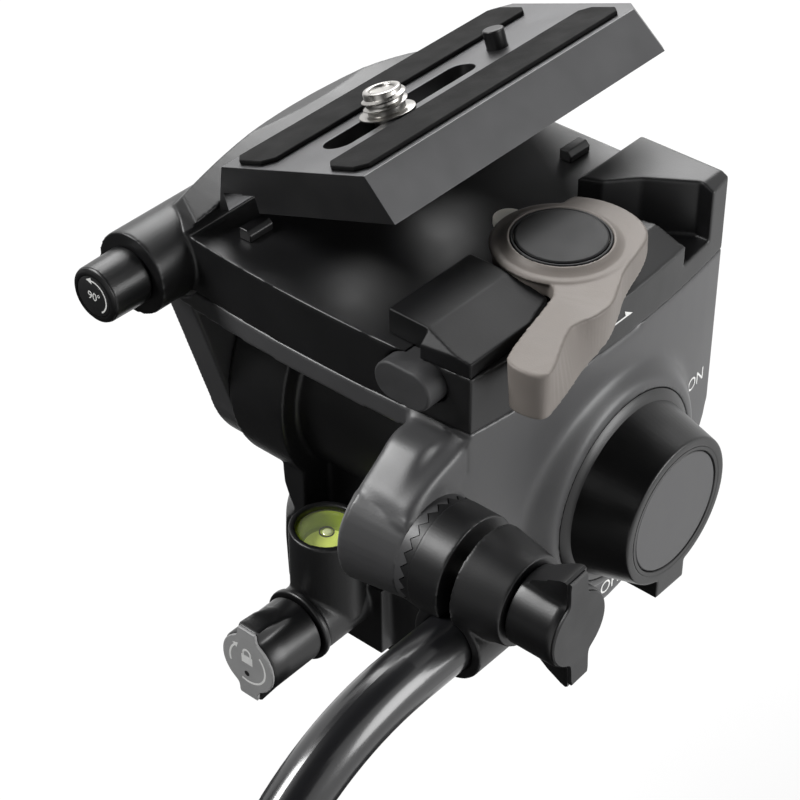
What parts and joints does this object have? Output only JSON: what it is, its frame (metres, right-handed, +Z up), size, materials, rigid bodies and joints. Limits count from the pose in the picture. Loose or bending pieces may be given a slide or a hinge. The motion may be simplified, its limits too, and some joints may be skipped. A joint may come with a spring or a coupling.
{
  "type": "fluid video head",
  "caption": "Two-axis fluid video head for a tripod, with rear pan handle, counterbalance knob, portrait-flip deck and a sliding camera plate tipped into its rail.",
  "frame": {"origin": "pan axis at the bottom face of the base, where the tripod thread opens", "axes": "+X to the operator's right, +Y the way the lens looks, +Z up along the pan axis"},
  "size_m": [0.1376, 0.3458, 0.2213],
  "materials": {
    "charcoal_casting": "satin",
    "black_casting": "satin",
    "black_plastic": "satin",
    "anodised_grey": "satin",
    "steel": "satin",
    "bronze": "satin",
    "taupe_metal": "satin",
    "grey_face": "matte",
    "dark_face": "matte",
    "pad_rubber": "matte",
    "grip_rubber": "matte",
    "black_tube": "gloss",
    "level_liquid": "gloss",
    "level_glass": "gloss",
    "cream_plastic": "satin"
  },
  "bodies": {
    "base": {"base_plate": "anodised_grey", "thread_insert": "steel", "base_screws": "steel", "pan_spindle": "steel", "pan_drag_stator": "bronze", "pan_nut": "steel"},
    "pan": {"pan_housing": "black_casting", "pan_bushes": "bronze", "pan_drag_rotor": "bronze", "level_vial": "level_liquid", "level_glass": "level_glass", "pan_lock_collar": "black_plastic", "tilt_bushes": "bronze", "tilt_drag_cartridge": "anodised_grey"},
    "pan_lock": {"pan_lock_knob": "black_plastic", "pan_lock_cap": "grey_face", "pan_lock_stem": "steel"},
    "pan_brake": {"pan_brake_shoe": "bronze"},
    "cradle": {"cradle": "charcoal_casting", "tilt_shaft": "steel", "balance_spring": "steel", "rosette_ring": "charcoal_casting", "handle_bolt": "steel", "hinge_pin": "steel"},
    "tilt_lock": {"tilt_lock_knob": "black_plastic", "tilt_lock_cap": "grey_face", "tilt_lock_stem": "steel"},
    "balance": {"balance_knob": "black_plastic", "balance_disc": "dark_face"},
    "deck": {"deck": "black_casting", "front_block": "black_casting", "rear_horn": "black_casting", "plate_stops": "black_plastic", "lever_axle": "steel", "button_spring": "steel", "flip_spring": "steel"},
    "lever": {"clamp_lever": "taupe_metal", "lever_disc": "black_plastic"},
    "trigger": {"trigger_shoe": "cream_plastic"},
    "button": {"release_button": "grey_face"},
    "flip_release": {"flip_knob": "black_plastic", "flip_cap": "dark_face"},
    "plate": {"slide_plate": "anodised_grey", "plate_pads": "pad_rubber", "pin_spring": "steel"},
    "carriage": {"screw_washer": "steel"},
    "screw": {"camera_screw": "steel"},
    "video_pin": {"video_pin": "black_plastic"},
    "handle": {"clamp_inner": "black_casting", "clamp_outer": "black_casting", "handle_tube": "black_tube", "handle_grip": "grip_rubber", "grip_plug": "black_plastic"},
    "wing": {"wing_knob": "black_plastic", "wing_cap": "dark_face"}
  },
  "joints": [
    {"name": "pan_turn", "type": "hinge", "parent": "base", "child": "pan", "pos_m": [0, 0, 0], "axis": [0, 0, 1], "continuous": true},
    {"name": "pan_lock_turn", "type": "hinge", "parent": "pan", "child": "pan_lock", "pos_m": [0, -0.045, 0.0175], "axis": [0, 1, 0], "range_deg": [0, 180]},
    {"name": "pan_brake_slide", "type": "slide", "parent": "pan", "child": "pan_brake", "axis": [0, 1, 0], "range_m": [0, 0.0006]},
    {"name": "tilt", "type": "hinge", "parent": "pan", "child": "cradle", "pos_m": [0, 0, 0.0576], "axis": [1, 0, 0], "range_deg": [-70, 60]},
    {"name": "tilt_lock_turn", "type": "hinge", "parent": "cradle", "child": "tilt_lock", "pos_m": [-0.0415, 0.018, 0.0576], "axis": [1, 0, 0], "range_deg": [0, 180]},
    {"name": "counterbalance_turn", "type": "hinge", "parent": "cradle", "child": "balance", "pos_m": [0.05, 0, 0.0576], "axis": [1, 0, 0], "range_deg": [0, 90]},
    {"name": "portrait_flip", "type": "hinge", "parent": "cradle", "child": "deck", "pos_m": [-0.036, 0, 0.1], "axis": [0, -1, 0], "range_deg": [0, 90]},
    {"name": "clamp_lever_turn", "type": "hinge", "parent": "deck", "child": "lever", "pos_m": [0.036, -0.0037, 0.11], "axis": [0, 0, 1], "range_deg": [0, 60]},
    {"name": "trigger_slide", "type": "slide", "parent": "deck", "child": "trigger", "axis": [1, 0, 0], "range_m": [0, 0.0088]},
    {"name": "button_press", "type": "slide", "parent": "deck", "child": "button", "axis": [0, 1, 0], "range_m": [0, 0.003], "stiffness_N_per_m": 800},
    {"name": "flip_release_turn", "type": "hinge", "parent": "deck", "child": "flip_release", "pos_m": [-0.036, -0.054, 0.1], "axis": [0, 1, 0], "range_deg": [0, 90], "stiffness_Nm_per_rad": 0.05},
    {"name": "plate_seat", "type": "hinge", "parent": "deck", "child": "plate", "pos_m": [-0.03882, 0, 0.11516], "axis": [0, 1, 0], "range_deg": [0, 19.7]},
    {"name": "carriage_slide", "type": "slide", "parent": "plate", "child": "carriage", "axis": [0, 1, 0], "range_m": [-0.013, 0.021]},
    {"name": "screw_turn", "type": "hinge", "parent": "carriage", "child": "screw", "pos_m": [-0.00421, -0.0081, 0.12462], "axis": [-0.3371, 0, 0.9415], "continuous": true},
    {"name": "video_pin_press", "type": "slide", "parent": "plate", "child": "video_pin", "axis": [-0.3371, 0, 0.9415], "range_m": [-0.0025, 0], "stiffness_N_per_m": 500},
    {"name": "handle_swing", "type": "hinge", "parent": "cradle", "child": "handle", "pos_m": [0.05, -0.055, 0.073], "axis": [1, 0, 0], "range_deg": [-60, 60]},
    {"name": "wing_turn", "type": "hinge", "parent": "cradle", "child": "wing", "pos_m": [0.071, -0.055, 0.073], "axis": [1, 0, 0], "range_deg": [0, 270]}
  ],
  "couplings": [
    {"joint": "pan_brake_slide", "follows": "pan_lock_turn", "m_per_rad": 0.00019099},
    {"joint": "trigger_slide", "follows": "plate_seat", "m_per_rad": 0.025594}
  ]
}
